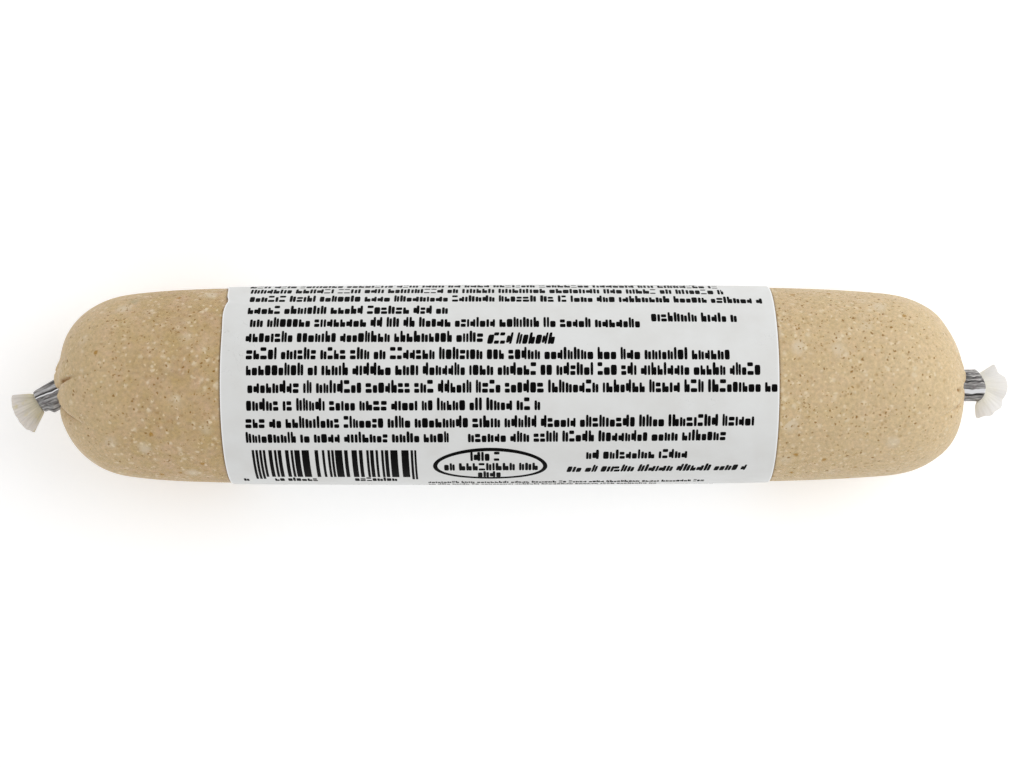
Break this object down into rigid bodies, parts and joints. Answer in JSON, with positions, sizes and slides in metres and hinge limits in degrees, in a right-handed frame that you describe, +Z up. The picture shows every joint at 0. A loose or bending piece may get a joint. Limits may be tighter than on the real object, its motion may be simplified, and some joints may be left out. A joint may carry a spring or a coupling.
{
  "type": "cooked fish roe roll",
  "caption": "Cooked fish roe set as a thick roll in a tight clear casing, with a paper label wrapped round its middle and a crimped metal clip and tuft of gathered film at each end.",
  "frame": {"origin": "on the face it rests on, below the middle of the roll", "axes": "+X along the roll, +Z up; the label's printed side faces +Z, and the left end of the picture is at -X"},
  "size_m": [0.2008, 0.04, 0.0397],
  "materials": {
    "roe_in_casing": "pale beige roe paste with fine pores, seen through a tight clear film with a soft gloss",
    "label_paper": "smooth white label paper with plain black print blocks and bars",
    "clip_metal": "drawn aluminium, dulled and ridged by crimping",
    "gathered_film": "milky translucent plastic film, gathered in fine pleats"
  },
  "bodies": {
    "root": {"roe_roll": "roe_in_casing", "paper_label": "label_paper", "clip_left": "clip_metal", "clip_right": "clip_metal", "tuft_left": "gathered_film", "tuft_right": "gathered_film"}
  },
  "joints": []
}
